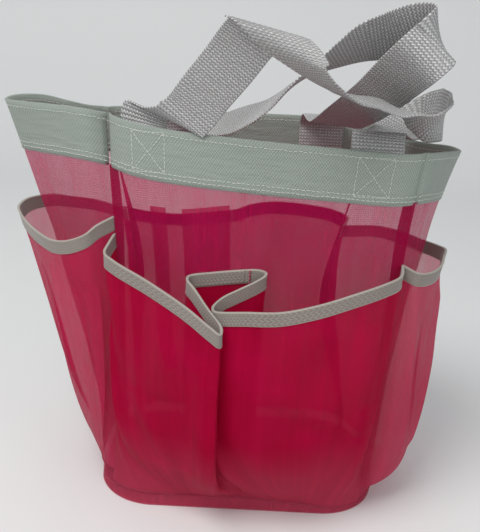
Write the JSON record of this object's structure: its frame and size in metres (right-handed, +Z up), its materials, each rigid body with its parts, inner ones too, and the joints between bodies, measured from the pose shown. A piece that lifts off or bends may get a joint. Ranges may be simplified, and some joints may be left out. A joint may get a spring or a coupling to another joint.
{
  "type": "shower caddy",
  "caption": "Soft sheer mesh shower tote with an open hemmed top, outer elastic-topped pockets and two sewn webbing carrying handles.",
  "frame": {"origin": "on the base near its centre, on the surface the bag stands on", "axes": "+Z up, -Y towards the front (the side with the tacked pair of pockets), +X to the right seen from the front"},
  "size_m": [0.3603, 0.2269, 0.4078],
  "materials": {
    "mesh": "sheer woven nylon mesh, magenta red",
    "hem": "coated plain-weave cloth, grey-green",
    "elastic": "knitted elastic binding, warm grey",
    "webbing": "coarse basket-weave webbing, silver grey with a slight sheen",
    "thread": "pale polyester thread"
  },
  "bodies": {
    "bag": {"base_panel": "mesh", "panel_front": "mesh", "hem_front": "hem", "panel_right": "mesh", "hem_right": "hem", "panel_back": "mesh", "hem_back": "hem", "panel_left": "mesh", "hem_left": "hem", "pocket_front_left": "mesh", "elastic_front_left": "elastic", "pocket_front_right": "mesh", "elastic_front_right": "elastic", "pocket_right": "mesh", "elastic_right": "elastic", "pocket_back_right": "mesh", "elastic_back_right": "elastic", "pocket_back_left": "mesh", "elastic_back_left": "elastic", "pocket_left": "mesh", "elastic_left": "elastic", "corner_seam_front_right": "mesh", "corner_seam_back_right": "mesh", "corner_seam_back_left": "mesh", "corner_seam_front_left": "mesh", "webbing_end_front_left": "webbing", "stitch_box_front_left": "thread", "webbing_end_front_right": "webbing", "stitch_box_front_right": "thread", "webbing_end_back_right": "webbing", "stitch_box_back_right": "thread", "webbing_end_back_left": "webbing", "stitch_box_back_left": "thread"},
    "handle_front": {"handle_front": "webbing"},
    "handle_back": {"handle_back": "webbing"}
  },
  "joints": [
    {"name": "handle_front_swing", "type": "hinge", "parent": "bag", "child": "handle_front", "pos_m": [0.0015, -0.0535, 0.3065], "axis": [0.9952, -0.0883, -0.0412], "range_deg": [-35, 0]},
    {"name": "handle_back_swing", "type": "hinge", "parent": "bag", "child": "handle_back", "pos_m": [-0.005, 0.07, 0.307], "axis": [1, 0, 0], "range_deg": [-58, 0]}
  ]
}
